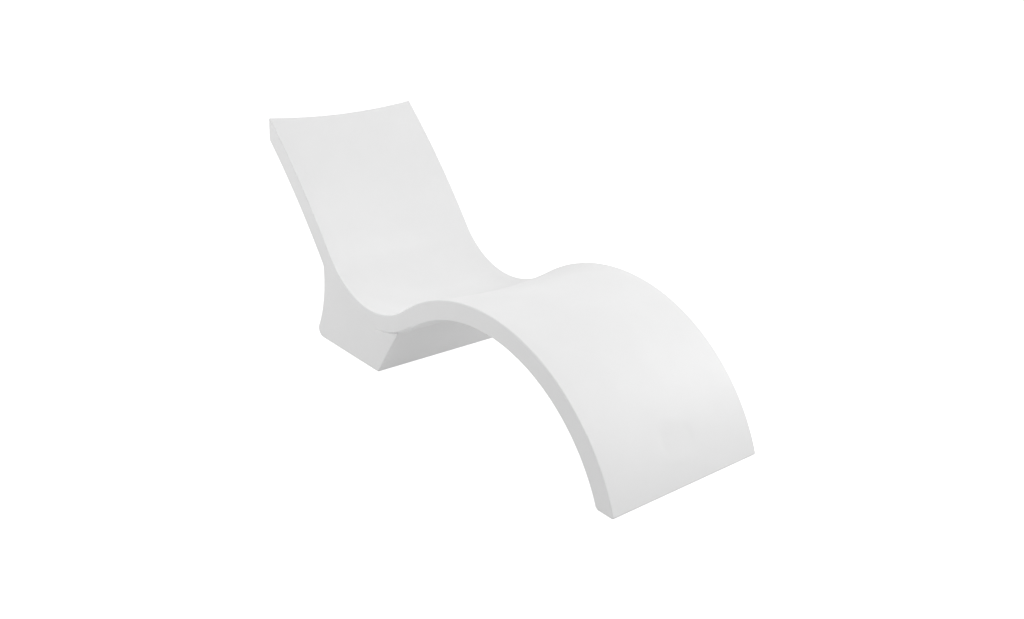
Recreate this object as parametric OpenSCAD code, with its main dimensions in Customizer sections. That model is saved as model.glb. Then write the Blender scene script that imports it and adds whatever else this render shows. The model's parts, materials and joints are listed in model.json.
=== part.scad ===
// Moulded relaxation lounger: one hollow, water-ballasted polyethylene shell with three screw ports.
// X runs across the lounger, Y from the foot to the head and Z up. The origin lies on the floor,
// in the middle of the footprint. A slope or lean is in degrees, every other size in millimetres.

/* [Shell] */
// Length over the floor, from the foot to the head end
overall_l = 1820; // [1640:10:1900]
// Width of the body
overall_w = 610; // [500:10:760]
// Thickness of the curved body
body_t = 64.5; // [54:0.5:80]
// Wall of the moulding
wall_t = 6; // [4:0.5:7.5]
// Rounding of the long edges
edge_r = 8; // [7.5:0.5:16]

/* [Side profile] */
// Radius of the knee and the leg rest, over the top
leg_r = 636; // [610:2:670]
// Slope of the leg rest where it meets the floor
foot_slope = 69; // [66:0.2:71]
// Slope of the thigh where it turns into the seat
thigh_slope = 37.4; // [35:0.2:40]
// Radius of the seat
seat_r = 324; // [300:2:350]
// Slope at which the seat turns into the backrest
back_slope = 51.2; // [49:0.2:54]
// Radius of the backrest, which curves gently away from the sitter
back_r = 3000; // [2600:50:4500]
// Sag of the dish between the two edges, from the thigh to the head end
dish_sag = 15; // [6:1:18]
// How far round the knee the dish runs out
knee_turn = 35; // [28:1:40]
// Rounding under the foot
foot_corner_r = 16; // [8:1:20]

/* [Pedestal] */
// How far the sole starts ahead of the seat's lowest line
sole_ahead = 49; // [30:1:80]
// Lean of the front face, forwards from the vertical
front_lean = 31; // [24:0.5:36]
// How far the waist of the rear face lies behind the seat's lowest line
waist_behind = 288; // [278:1:298]
// Height of the waist
waist_h = 220; // [200:2:240]
// Radius of the hollow rear face
rear_r = 425; // [380:5:520]
// Rounding of the heel
heel_r = 33; // [20:1:44]
// How far behind the sole's front edge the sides start to turn in
side_turn_start = 30; // [10:2:60]
// Radius with which the sides turn in towards the front
side_turn_r = 1600; // [1200:50:2600]

/* [Flat on the leg rest] */
// Radius of the bare round flat
flat_r = 70; // [40:2:90]
// Slope of the leg rest at the middle of the flat
flat_slope = 56.4; // [50:0.2:60]
// Depth of the flat below the crown of the curve
flat_sink = 1.8; // [1:0.2:2.6]

/* [Screw ports] */
// Distance of the filling port from the head end, along the floor
fill_from_head = 130; // [100:5:200]
// Height of the heel drain
heel_drain_h = 80; // [70:2:110]
// Height of the foot drain
foot_drain_h = 95; // [80:5:160]
// Depth of the pocket that a plug sits in
pocket_d = 10; // [8:0.5:12]
// Radius of the pocket
pocket_r = 36; // [33:1:42]
// Crest radius of the plug's thread
thread_r = 21; // [19:0.5:23]
// Depth of the thread
thread_d = 1.6; // [1.2:0.1:1.8]
// Pitch of the thread
pitch = 4; // [4:0.5:6]
// Running clearance of the thread and the seal
fit_gap = 0.3; // [0.25:0.05:0.4]
// Length of the brass insert
insert_l = 16; // [14:1:20]
// Wall of the brass outside the thread
insert_wall = 4; // [3:0.5:5]
// Thickness of the insert's flange
insert_flange_t = 3; // [2:0.5:4]
// Thickness of the seal ring
seal_t = 3.5; // [2.5:0.1:4]
// Radius of the plug's head
head_r = 28; // [27:0.5:30]
// Thickness of the plug's head
head_t = 5.5; // [5:0.5:7]
// Width of the grip bar across the plug's head
grip_w = 9; // [7:0.5:12]
// Depth of the finger recess beside the grip bar
grip_d = 3.2; // [2:0.2:3.6]

/* [Hidden] */
$fn = 96;
sweep_fn = 256;
seal_fn = 32;
notch_fn = 24;
overrun = 20;
corner_steps = 6;
arc_steps = 28;
dish_steps = 10;

foot_y = -overall_l / 2;
head_y = overall_l / 2;

// Centres of the three arcs of the side profile, as [y, z]. Each arc leaves the last one at its slope.
leg_c = [foot_y + leg_r * sin(foot_slope), -leg_r * cos(foot_slope)];
seat_c = leg_c + (leg_r + seat_r) * [sin(thigh_slope), cos(thigh_slope)];
back_c = seat_c + (seat_r + back_r) * [sin(back_slope), -cos(back_slope)];
// Slope of the backrest's top and underside where the head end cuts them
head_slope = asin((back_c[0] - head_y) / back_r);
sweep_margin = 1;
// Overlap of the seat with the bends on its two sides, which joins them into one solid
join_turn = 0.00035;

// The dish runs concentric with the seat and the backrest, and leaves the knee along a flatter arc
knee_ease = dish_sag / (1 - cos(knee_turn));
knee_dish_r = leg_r - dish_sag + knee_ease;
knee_dish_c = leg_c - knee_ease * [sin(thigh_slope), cos(thigh_slope)];
dish_over_share = 1.2;

// Pedestal: front corner of the sole, centres of the hollow rear face and of the heel
sole_y = seat_c[0] - sole_ahead;
rear_c = [seat_c[0] + waist_behind + rear_r, waist_h];
heel_turn = asin((waist_h - heel_r) / (rear_r + heel_r));
heel_c = [rear_c[0] - (rear_r + heel_r) * cos(heel_turn), heel_r];
fill_share = 0.75;
mid_r = seat_r + fill_share * body_t;
side_turn_y = sole_y + side_turn_start;

// Ports as [y, z, outward angle], each square to the surface that it opens in
fill_y = head_y - fill_from_head;
fill_turn = acos((back_c[0] - fill_y) / (back_r - body_t));
fill_port = [fill_y, back_c[1] + (back_r - body_t) * sin(fill_turn), -fill_turn];
heel_angle = asin((waist_h - heel_drain_h) / rear_r);
heel_port = [rear_c[0] - rear_r * cos(heel_angle), heel_drain_h, heel_angle];
foot_angle = asin((foot_drain_h - leg_c[1]) / (leg_r - body_t));
foot_port = [leg_c[0] - (leg_r - body_t) * cos(foot_angle), foot_drain_h, -foot_angle];

// Sizes of a port. Its own Z runs outwards from the floor of the pocket.
core_r = thread_r - thread_d;
bore_r = core_r + fit_gap;
neck_r = thread_r + fit_gap;
seal_r = neck_r + fit_gap + seal_t / 2;
seal_seat_r = seal_r + seal_t / 2 + fit_gap;
seal_seat_share = 0.8;
seal_seat_d = seal_seat_share * seal_t;
seal_z = -seal_seat_d + fit_gap / 2 + seal_t / 2;
head_z = seal_z + seal_t / 2 + fit_gap / 2;
neck_z = -seal_seat_d + 2 * fit_gap;
plug_l = insert_l - 2 * fit_gap;
shank_wall = 3.6;
web_t = head_t / 2;
insert_r = thread_r + fit_gap + insert_wall;
insert_flange_r = max(seal_seat_r, insert_r) + insert_wall;
hex_r = insert_flange_r - insert_wall / 4;
hex_t = insert_l / 3;
boss_l = insert_l + wall_t;
recess_r = head_r - head_t;
notch_r = 1.8;
notches = 18;
rim_chamfer = 1.1;
flank = 20;
crest_share = 0.19;
thread_steps = 30;

// Points of an arc round c, from angle a to angle b, as [y, z]
function arc(c, r, a, b, steps) = [
    for (i = [0:steps]) let (t = a + (b - a) * i / steps) c + r * [cos(t), sin(t)]
];

// Rounded section of the body between two radii, drawn in by the distance d on every side
function body_section(r_low, r_high, d) =
    let (r = edge_r - d, x = overall_w / 2 - edge_r, low = r_low + edge_r, high = r_high - edge_r)
    concat(
        arc([high, x], r, 0, 90, corner_steps),
        arc([low, x], r, 90, 180, corner_steps),
        arc([low, -x], r, 180, 270, corner_steps),
        arc([high, -x], r, 270, 360, corner_steps)
    );

// Where the pedestal's front face, drawn in by d, ends inside the seat's thickness
function front_top(d) =
    let (
        n = [cos(front_lean), sin(front_lean)],
        up = [-sin(front_lean), cos(front_lean)],
        p = [sole_y, 0] + d * n,
        off = (seat_c - p) * n,
        along = (seat_c - p) * up
    )
    p + (along - sqrt(mid_r * mid_r - off * off)) * up;

// Side outline of the pedestal, drawn in by d, closed inside the body's thickness
function pedestal_outline(d) =
    let (
        front = front_top(d),
        front_turn = asin((front[0] - seat_c[0]) / mid_r),
        top_z = seat_c[1] - mid_r * cos(back_slope),
        top_turn = asin((top_z - waist_h) / (rear_r + d)),
        toe = [sole_y + d * (1 - sin(front_lean)) / cos(front_lean), d]
    )
    concat(
        [toe],
        arc(heel_c, heel_r - d, -90, heel_turn, corner_steps),
        arc(rear_c, rear_r + d, 180 + heel_turn, 180 - top_turn, arc_steps),
        arc(seat_c, mid_r, back_slope - 90, front_turn - 90, arc_steps)
    );

// Turns drawings in [y, z] and extrusions along their own Z into place, with that Z along X
module side_on() {
    rotate([90, 0, 90])
        children();
}

// One bend of the body, swept about c from the polar angle a to b
module bend(c, r_low, r_high, a, b, d) {
    side_on()
        translate([c[0], c[1], 0])
            rotate([0, 0, a])
                rotate_extrude(angle = b - a, $fn = sweep_fn)
                    polygon(body_section(r_low, r_high, d));
}

// Bowed channel about c, from the polar angle a to b. Its deepest line has the radius r, it opens outwards
// for a side of 1 and towards c for a side of -1, and it is sunk by d
module channel(c, r, a, b, side, d) {
    half = overall_w / 2;
    edge = half * dish_over_share;
    low = [
        for (i = [-dish_steps:dish_steps])
            let (s = dish_over_share * i / dish_steps)
            [r + side * (dish_sag * s * s - d), s * half]
    ];
    high = r + side * (dish_sag + body_t);
    side_on()
        translate([c[0], c[1], 0])
            rotate([0, 0, a])
                rotate_extrude(angle = b - a, $fn = sweep_fn)
                    polygon(concat(low, [[high, edge], [high, -edge]]));
}

// The three bends with the dish taken out of them, drawn in by d, before the foot and the head end are cut
module bends(d) {
    knee_a = 90 - thigh_slope;
    seat_a = -90 - thigh_slope;
    seat_b = -90 + back_slope;
    back_a = 90 + head_slope - sweep_margin;
    back_b = 90 + back_slope;
    difference() {
        bend(leg_c, leg_r - body_t, leg_r, knee_a, 90 + foot_slope, d);
        channel(knee_dish_c, knee_dish_r, knee_a - sweep_margin, knee_a + knee_turn, 1, d);
    }
    difference() {
        bend(seat_c, seat_r, seat_r + body_t, seat_a - join_turn, seat_b + join_turn, d);
        channel(seat_c, seat_r + dish_sag, seat_a - sweep_margin, seat_b + sweep_margin, -1, d);
    }
    difference() {
        bend(back_c, back_r - body_t, back_r, back_a, back_b, d);
        channel(back_c, back_r - dish_sag, back_a - sweep_margin, back_b + sweep_margin, 1, d);
    }
}

// Everything between the floor and the head end, drawn in by d
module room(d) {
    reach = overall_l + overrun;
    translate([-overall_w, head_y - d - reach, d])
        cube([2 * overall_w, reach, overall_l]);
}

// Solid pedestal, drawn in by d: its side outline between two sides that turn in towards the front
module pedestal(d) {
    half = overall_w / 2 - d;
    turn = asin((side_turn_y - front_top(0)[0] + overrun) / side_turn_r);
    c = [overall_w / 2 - side_turn_r, side_turn_y];
    side = concat(arc(c, side_turn_r - d, -turn, 0, corner_steps), [[half, rear_c[0]]]);
    last = len(side) - 1;
    intersection() {
        side_on()
            translate([0, 0, -half])
                linear_extrude(2 * half)
                    polygon(pedestal_outline(d));
        linear_extrude(overall_l)
            polygon(concat(side, [for (i = [0:last]) [-side[last - i][0], side[last - i][1]]]));
    }
}

// Sliver that rounds the sole of the foot into the underside of the leg rest
module foot_corner() {
    under_r = leg_r - body_t;
    c = [leg_c[0] - sqrt(pow(under_r + foot_corner_r, 2) - pow(foot_corner_r - leg_c[1], 2)), foot_corner_r];
    turn = atan2(leg_c[1] - c[1], leg_c[0] - c[0]);
    side_on()
        translate([0, 0, -overall_w])
            linear_extrude(2 * overall_w)
                polygon(concat(
                    arc(c, foot_corner_r, -90, turn, corner_steps),
                    [c + (foot_corner_r + overrun) * [cos(turn), sin(turn)],
                     c + [foot_corner_r + overrun, -foot_corner_r - overrun],
                     c - [0, foot_corner_r + overrun]]
                ));
}

// Puts its children in the frame of a port, with Z outwards from the pocket's floor
module at_port(p) {
    translate([0, p[0], p[1]])
        rotate([p[2] - 90, 0, 0])
            translate([0, 0, -pocket_d])
                children();
}

// Puts its children on the axis of the bare flat, with Z out of the leg rest
module at_flat() {
    translate([0, leg_c[0], leg_c[1]])
        rotate([flat_slope, 0, 0])
            children();
}

// Outer form of the lounger with nothing taken out of its inside
module outer_form() {
    difference() {
        intersection() {
            union() {
                bends(0);
                pedestal(0);
            }
            room(0);
        }
        foot_corner();
        at_flat()
            translate([0, 0, leg_r - flat_sink])
                cylinder(r = flat_r, h = overrun);
    }
    at_flat()
        translate([0, 0, leg_r - wall_t])
            cylinder(r = flat_r, h = wall_t - flat_sink);
}

// Water chamber inside the walls, with the cup of each port left standing in it
module chamber() {
    difference() {
        intersection() {
            union() {
                bends(wall_t);
                pedestal(wall_t);
            }
            room(wall_t);
        }
        for (p = [fill_port, heel_port, foot_port])
            at_port(p)
                translate([0, 0, -boss_l])
                    cylinder(r = pocket_r + wall_t, h = boss_l + body_t);
    }
}

// Half width of the thread at the radius r
function thread_w(r) = pitch * crest_share + (thread_r - r) * tan(flank);

// Helical bar for a thread between two radii and two heights, wider by the gap on each flank
module helix(r_in, r_out, gap, z_low, z_high) {
    n = ceil((z_high - z_low) / pitch * thread_steps);
    w_in = thread_w(r_in) + gap;
    w_out = thread_w(r_out - gap) + gap;
    points = [
        for (i = [0:n])
            let (z = z_low + i * pitch / thread_steps, t = 360 * z / pitch)
            for (p = [[r_in, -w_in], [r_out, -w_out], [r_out, w_out], [r_in, w_in]])
                [p[0] * cos(t), p[0] * sin(t), z + p[1]]
    ];
    sides = [
        for (i = [0:n - 1], k = [0:3])
            let (a = 4 * i + k, b = 4 * i + (k + 1) % 4)
            for (f = [[a, b, b + 4], [a, b + 4, a + 4]])
                f
    ];
    last = 4 * n;
    ends = [[0, 2, 1], [0, 3, 2], [last, last + 1, last + 2], [last, last + 2, last + 3]];
    polyhedron(points, concat(sides, ends));
}

// Outside of a brass insert: flange, hexagon that can't turn in the plastic, and round body
module insert_outside() {
    translate([0, 0, -insert_flange_t])
        cylinder(r = insert_flange_r, h = insert_flange_t);
    translate([0, 0, -insert_flange_t - hex_t])
        cylinder(r = hex_r, h = hex_t, $fn = 6);
    translate([0, 0, -insert_l])
        cylinder(r = insert_r, h = insert_l);
}

// Brass insert with its threaded bore and the seat of the seal
module insert(p) {
    color("darkgoldenrod")
        at_port(p)
            difference() {
                insert_outside();
                translate([0, 0, -insert_l - overrun])
                    cylinder(r = bore_r, h = insert_l + 2 * overrun);
                translate([0, 0, -seal_seat_d])
                    cylinder(r = seal_seat_r, h = seal_seat_d + overrun);
                helix(bore_r - fit_gap, thread_r + fit_gap, fit_gap, -insert_l - pitch, pitch);
            }
}

// Seal ring in the mouth of the insert, under the plug's head
module seal(p) {
    color("dimgray")
        at_port(p)
            translate([0, 0, seal_z])
                rotate_extrude()
                    translate([seal_r, 0])
                        circle(r = seal_t / 2, $fn = seal_fn);
}

// Screw plug: notched head with a grip bar, neck through the seal, hollow threaded shank
module plug(p) {
    shank_z = -plug_l;
    top_z = head_z + head_t;
    color("white")
        at_port(p)
            difference() {
                union() {
                    rotate_extrude()
                        polygon([
                            [0, head_z], [head_r - rim_chamfer, head_z], [head_r, head_z + rim_chamfer],
                            [head_r, top_z - rim_chamfer], [head_r - rim_chamfer, top_z], [0, top_z]
                        ]);
                    translate([0, 0, neck_z])
                        cylinder(r = neck_r, h = head_z - neck_z);
                    translate([0, 0, shank_z])
                        cylinder(r = core_r, h = head_z - shank_z);
                    helix(core_r - fit_gap, thread_r, 0, shank_z + pitch / 2, neck_z - pitch / 2);
                }
                translate([0, 0, shank_z - overrun])
                    cylinder(r = core_r - shank_wall, h = top_z - grip_d - web_t - shank_z + overrun);
                difference() {
                    translate([0, 0, top_z - grip_d])
                        cylinder(r = recess_r, h = grip_d + overrun);
                    translate([-head_r, -grip_w / 2, head_z])
                        cube([2 * head_r, grip_w, head_t + 2 * overrun]);
                }
                for (i = [0:notches - 1])
                    rotate([0, 0, i * 360 / notches])
                        translate([head_r + notch_r / 2, 0, head_z - overrun])
                            cylinder(r = notch_r, h = head_t + 2 * overrun, $fn = notch_fn);
            }
}

// Hollow shell: outer form less the chamber, the pockets and the seats of the inserts
module moulded_shell() {
    color("whitesmoke")
        difference() {
            outer_form();
            chamber();
            for (p = [fill_port, heel_port, foot_port])
                at_port(p) {
                    cylinder(r = pocket_r, h = pocket_d + body_t);
                    insert_outside();
                    translate([0, 0, -boss_l - wall_t])
                        cylinder(r = insert_r - insert_wall / 2, h = boss_l + wall_t);
                }
        }
}

module fill_insert() {
    insert(fill_port);
}

module fill_seal() {
    seal(fill_port);
}

module fill_plug() {
    plug(fill_port);
}

module heel_insert() {
    insert(heel_port);
}

module heel_seal() {
    seal(heel_port);
}

module heel_plug() {
    plug(heel_port);
}

module foot_insert() {
    insert(foot_port);
}

module foot_seal() {
    seal(foot_port);
}

module foot_plug() {
    plug(foot_port);
}

moulded_shell();
fill_insert();
fill_seal();
fill_plug();
heel_insert();
heel_seal();
heel_plug();
foot_insert();
foot_seal();
foot_plug();
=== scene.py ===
"""Moulded relaxation lounger: the visible shell, its screw ports and a plain studio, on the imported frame.

Lengths are in metres in the lounger's own frame: X across, Y from the foot to the head, Z up.
A place on the curved body is also given as s, the distance along its top line from the foot,
and h, the height above that line, so the inside of the body has a negative h.
"""

import json
import math
import bmesh
import bpy
import numpy as np
from mathutils import Matrix, Vector


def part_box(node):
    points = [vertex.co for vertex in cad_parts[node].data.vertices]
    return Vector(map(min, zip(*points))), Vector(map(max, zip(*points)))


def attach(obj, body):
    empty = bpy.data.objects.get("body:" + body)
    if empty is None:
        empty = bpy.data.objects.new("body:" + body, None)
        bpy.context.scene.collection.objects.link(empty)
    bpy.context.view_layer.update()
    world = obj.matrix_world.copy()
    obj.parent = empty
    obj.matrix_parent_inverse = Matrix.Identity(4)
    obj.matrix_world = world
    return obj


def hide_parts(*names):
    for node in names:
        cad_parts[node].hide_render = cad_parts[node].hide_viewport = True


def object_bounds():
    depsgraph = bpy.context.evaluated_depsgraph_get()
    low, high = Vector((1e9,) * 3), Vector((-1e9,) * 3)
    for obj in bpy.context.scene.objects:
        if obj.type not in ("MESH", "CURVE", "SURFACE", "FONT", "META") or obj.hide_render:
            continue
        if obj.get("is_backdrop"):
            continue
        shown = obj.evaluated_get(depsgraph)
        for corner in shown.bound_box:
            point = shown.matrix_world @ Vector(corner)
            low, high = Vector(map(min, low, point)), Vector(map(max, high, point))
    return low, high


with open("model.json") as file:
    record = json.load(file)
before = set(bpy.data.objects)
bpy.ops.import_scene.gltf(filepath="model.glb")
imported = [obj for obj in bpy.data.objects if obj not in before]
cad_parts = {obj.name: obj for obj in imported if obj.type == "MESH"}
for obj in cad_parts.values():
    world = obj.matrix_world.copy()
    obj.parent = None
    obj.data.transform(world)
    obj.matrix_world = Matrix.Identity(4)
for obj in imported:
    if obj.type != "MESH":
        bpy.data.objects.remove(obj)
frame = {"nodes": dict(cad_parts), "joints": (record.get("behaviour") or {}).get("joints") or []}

bl_info = {
    "name": "Moulded relaxation lounger",
    "version": (1, 0, 0),
    "blender": (4, 5, 0),
    "location": "View3D > Sidebar > Lounger",
    "description": "Builds the shell, the screw ports and the studio of a water-ballasted lounger",
    "category": "Object",
}

CAD_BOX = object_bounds()
SHELL_LOW, SHELL_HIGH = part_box("moulded_shell")

# Parts of the outline: the three arcs of the body, and the pedestal
LEG, SEAT, BACK, BASE = 1, 2, 3, 0

# Mesh of the shell: lengths of its faces along the body, and of the short ones that hold a rounding tight
STEP = 0.0085
FINE = 0.0025
# Columns from the centre plane to the side, and steps in the rounding of an edge
ACROSS = 37
ROUND = 5
# Steps in the join and the arch, under the seat, in the hollow rear face, and in half of the heel and the toe
CORNER = 16
SEAM = 50
HOLLOW = 34
HEEL = 6
TOE = 2
# Steps in the three stretches of each end of the body
BEND = 5
FLAT = 5
TIP = 4
# Edge rounding at a tight corner, as a share of the corner's radius, and how fast it grows back from there
TIGHT = 0.8
GROWTH = 0.3
# How strongly the side's rows crowd towards the seam, and over how many stations that and the ends fade
CROWDING = 2.2
CROWD_FADE = 16
END_FADE = 18
# Slope at which the step under the seat's edge runs out below the edge's rounding
RUN_OUT = 3
# Vertices closer than this become one. The second number only keeps a division from failing
MERGE = 2e-5
TINY = 1e-9

# The round flat's border, in shares of its radius, and the share of the thickness that the dish reaches into
FLAT_INNER = 0.80
FLAT_OUTER = 1.10
DISH_REACH = 0.75

# Mesh of a port: the border round its pocket, with its rings, and the steps in the lip and the floor's edge
POCKET_BORDER = 0.014
POCKET_RINGS = 5
LIP_STEPS = 4
FLOOR_STEPS = 3
# Small roundings of a port, and the radius of the last ring in its cup
FLOOR_ROUND = 0.0012
RECESS_ROUND = 0.0004
CUP_ROUND = 0.001
CUP_MIDDLE = 0.004

# Mesh of a plug: points between two notches, steps in its edges, and points in a turn of its thread
NOTCH_POINTS = 12
PLUG_STEPS = 4
THREAD_POINTS = 48
# Rings across a plug's top, the share of its radius where they start, and how they crowd to the outside
TOP_RINGS = 34
TOP_START = 0.04
TOP_CROWDING = 0.85
# Edge rounding of a plug's head, width of the recess's slopes, crown, and dip along the grip bar's sides
PLUG_ROUND = 0.0009
SLOPE_WIDTH = 0.0016
CROWN = 0.0004
BAR_DIP = 0.00006
# Depth of the finger notches in shares of their radius, and where the wave that draws them is cut off
NOTCH_DEPTH = 0.62
NOTCH_CUT = 0.10
# Chamfers at the neck's top and the bore's mouth, at the neck's end, at the shank's tip and deep in the bore
CHAMFER = 0.0006
NECK_CHAMFER = 0.0004
TIP_CHAMFER = 0.0008
BORE_CHAMFER = 0.0012
# Heights of the neck's end and of the bore's floor, from the pocket's floor, and radius of the bore's middle
NECK_END = -0.0022
BORE_FLOOR = -0.0004
BORE_MIDDLE = 0.002
# How deep the thread sits in the core, its width there in shares of the pitch, and its crest's of that width
THREAD_ROOT = 0.0003
RIDGE_SHARE = 0.5
CREST_SHARE = 0.35
# Edges sharper than this many degrees stay sharp
SHARP_ANGLE = 40

# Studio: how far the floor reaches, its gap under the sole, its glow, the world's light, the size of the
# lamps and the place that they all aim at. Each lamp has its own place and power
FLOOR_REACH = 30.0
FLOOR_DROP = 0.0005
FLOOR_GLOW = 0.375
WORLD_LIGHT = 0.395
LAMP_SIZE = 2.4
LAMP_AIM = (0, 0, 0.2)
LAMPS = {
    "over_foot": ((0, -2.2, 3.4), 41.3),
    "over_head": ((0.3, 2.4, 3.4), 23.4),
    "left": ((-3.8, 0.3, 1.6), 14.1),
    "left_head": ((-2.6, 3.0, 1.8), 43.9),
    "right_foot": ((3.4, -1.8, 2.2), 73.9),
}

# Camera of the photograph: azimuth, elevation and roll in degrees, and its focal length in pixels
CAMERA_PLACE = (-2.27778, -2.69234, 1.69148)
CAMERA_TURN = (-41.371, 22.414, -2.866)
FOCAL_PIXELS = 1142.83
IMAGE_WIDTH = 1024
SENSOR_WIDTH = 36


# Sizes and colours that a user would change


def length(name, text, value):
    return bpy.props.FloatProperty(
        name=name, description=text, default=value, min=0, precision=4, unit="LENGTH"
    )


def slope(name, text, degrees):
    return bpy.props.FloatProperty(
        name=name, description=text, default=math.radians(degrees), min=0, max=math.pi / 2, subtype="ANGLE"
    )


def colour(name, text, value):
    return bpy.props.FloatVectorProperty(
        name=name, description=text, default=value, min=0, max=1, size=3, subtype="COLOR"
    )


class BodySizes(bpy.types.PropertyGroup):
    """Sizes of the curved body and of its edges."""

    overall: length("Length", "Length over the floor, foot to head end", SHELL_HIGH.y - SHELL_LOW.y)
    width: length("Width", "Width of the body", SHELL_HIGH.x - SHELL_LOW.x)
    thickness: length("Thickness", "Thickness of the curved body", 0.0645)
    leg_radius: length("Leg radius", "Radius of the knee and the leg rest, over the top", 0.636)
    foot_slope: slope("Foot slope", "Slope of the leg rest at the floor", 69.0)
    thigh_slope: slope("Thigh slope", "Slope where the thigh turns into the seat", 37.4)
    seat_radius: length("Seat radius", "Radius of the seat", 0.324)
    back_slope: slope("Back slope", "Slope where the seat turns into the backrest", 51.2)
    back_radius: length("Back radius", "Radius of the backrest", 3.000)
    seat_sag: length("Seat sag", "Depth of the dish in the seat and the thigh, square to the top", 0.024)
    head_sag: length("Head sag", "Depth of the dish at the head end, square to the top", 0.0133)
    dish_start: length("Dish start", "Where the dish starts on the knee, along the top from the foot", 0.750)
    dish_full: length("Dish full", "Where the dish has its full depth on the thigh, along the top", 1.080)
    edge: length("Edge rounding", "Rounding of the long edges on top", 0.0038)
    edge_under: length("Lower edge rounding", "Rounding of the long edges underneath", 0.0036)
    edge_base: length("Base edge rounding", "Rounding of the side edges of the foot and the pedestal", 0.003)
    foot_front: length("Foot rounding", "Rounding under the front of the foot", 0.005)
    foot_back: length("Foot inner rounding", "Rounding behind the foot", 0.016)
    head_top: length("Head rounding", "Rounding of the head end's upper edge", 0.004)
    head_under: length("Head lower rounding", "Rounding of the head end's lower edge", 0.010)
    flat_radius: length("Flat radius", "Radius of the bare round flat on the leg rest", 0.070)
    flat_slope: slope("Flat slope", "Slope of the leg rest at the middle of the flat", 56.4)
    flat_sink: length("Flat sink", "Depth of the flat below the crown of the curve", 0.0018)


class PedestalSizes(bpy.types.PropertyGroup):
    """Sizes of the pedestal under the seat."""

    sole_ahead: length("Sole ahead", "How far the sole starts ahead of the seat's lowest line", 0.049)
    front_lean: slope("Front lean", "Lean of the front face from the vertical", 31.0)
    waist_behind: length("Waist behind", "How far the waist lies behind the seat's lowest line", 0.288)
    waist_height: length("Waist height", "Height of the waist of the rear face", 0.220)
    rear_radius: length("Rear radius", "Radius of the hollow rear face", 0.425)
    heel: length("Heel rounding", "Rounding of the heel", 0.0285)
    toe: length("Toe rounding", "Rounding of the sole's front edge", 0.004)
    join: length("Join rounding", "Hollow rounding where the rear face meets the backrest", 0.030)
    arch: length("Arch rounding", "Hollow rounding where the front face meets the seat", 0.014)
    side_start: length("Side start", "How far behind the sole's front edge the sides turn in", 0.030)
    side_radius: length("Side radius", "Radius with which the sides turn in", 1.600)
    soften: length("Step softening", "Softening at the foot of the step under the seat's edge", 0.0005)
    crease: length("Crease depth", "Depth of the crease along that step, at the pedestal's front", 0.0080)
    crease_width: length("Crease width", "Width of that crease", 0.0068)
    crease_rise: length("Crease rise", "Height of that crease above the underside of the body", 0.0030)


class PortSizes(bpy.types.PropertyGroup):
    """Sizes of the pockets and of the screw plugs in them."""

    pocket: length("Pocket radius", "Radius of a plug's pocket", 0.036)
    depth: length("Pocket depth", "Depth of a plug's pocket", 0.010)
    lip: length("Lip rounding", "Rounding of the pocket's mouth", 0.0022)
    flange: length("Flange recess", "Radius of the recess that takes the insert's flange", 0.02945)
    cup: length("Cup depth", "Depth of the recess behind the pocket's floor", 0.022)
    head: length("Head radius", "Radius of the plug's head", 0.028)
    head_thick: length("Head thickness", "Thickness of the plug's head", 0.0055)
    head_lift: length("Head lift", "Height of the head's underside above the pocket's floor", 0.001)
    notch: length("Notch radius", "Radius of the finger notches round the head", 0.0018)
    rim: length("Rim", "Width of the rim round the finger recess", 0.0055)
    grip: length("Grip width", "Width of the grip bar", 0.009)
    grip_depth: length("Grip depth", "Depth of the finger recess beside the bar", 0.0032)
    neck: length("Neck radius", "Radius of the plug's neck", 0.0213)
    core: length("Core radius", "Root radius of the plug's thread", 0.0194)
    crest: length("Crest radius", "Crest radius of the plug's thread", 0.021)
    pitch: length("Pitch", "Pitch of the thread", 0.004)
    shank: length("Shank length", "Length of the shank below the pocket's floor", 0.0154)
    bore: length("Shank bore", "Radius of the hollow in the shank", 0.0158)
    notches: bpy.props.IntProperty(name="Notches", description="Notches round the head", default=18, min=3)


class Colours(bpy.types.PropertyGroup):
    """Colours of the lounger and of the studio."""

    shell: colour("Shell", "Moulded polyethylene", (0.83, 0.83, 0.83))
    plug: colour("Plugs", "Injection-moulded nylon", (0.80, 0.80, 0.79))
    brass: colour("Inserts", "Machined brass", (0.62, 0.42, 0.16))
    rubber: colour("Seals", "Black rubber", (0.022, 0.022, 0.024))
    floor: colour("Floor", "Studio floor", (0.40, 0.40, 0.40))


def sizes():
    """This scene's sizes of the body, the pedestal and the ports, and its colours."""
    return [getattr(bpy.context.scene, name) for name in GROUPS]


# Side profile: plane geometry in (y, z)


def polar(angle):
    """Unit vectors at these angles, as rows."""
    angle = np.asarray(angle, float)
    return np.stack([np.cos(angle), np.sin(angle)], axis=-1)


def smooth(share):
    """A share from 0 to 1, eased at both ends."""
    return share * share * (3 - 2 * share)


def angle_of(v):
    return math.atan2(v[1], v[0])


def unit(v):
    return v / math.hypot(*v)


def toward(a, b, radius):
    """The point at this radius from a, on the way to b."""
    return a + radius * unit(b - a)


def crossing(a, ra, b, rb):
    """The point that lies ra from a and rb from b, to the right of the way from a to b."""
    d = b - a
    dist = math.hypot(*d)
    along = (ra * ra - rb * rb + dist * dist) / (2 * dist)
    off = math.sqrt(ra * ra - along * along)
    u = d / dist
    return a + along * u - off * np.array([-u[1], u[0]])


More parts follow.
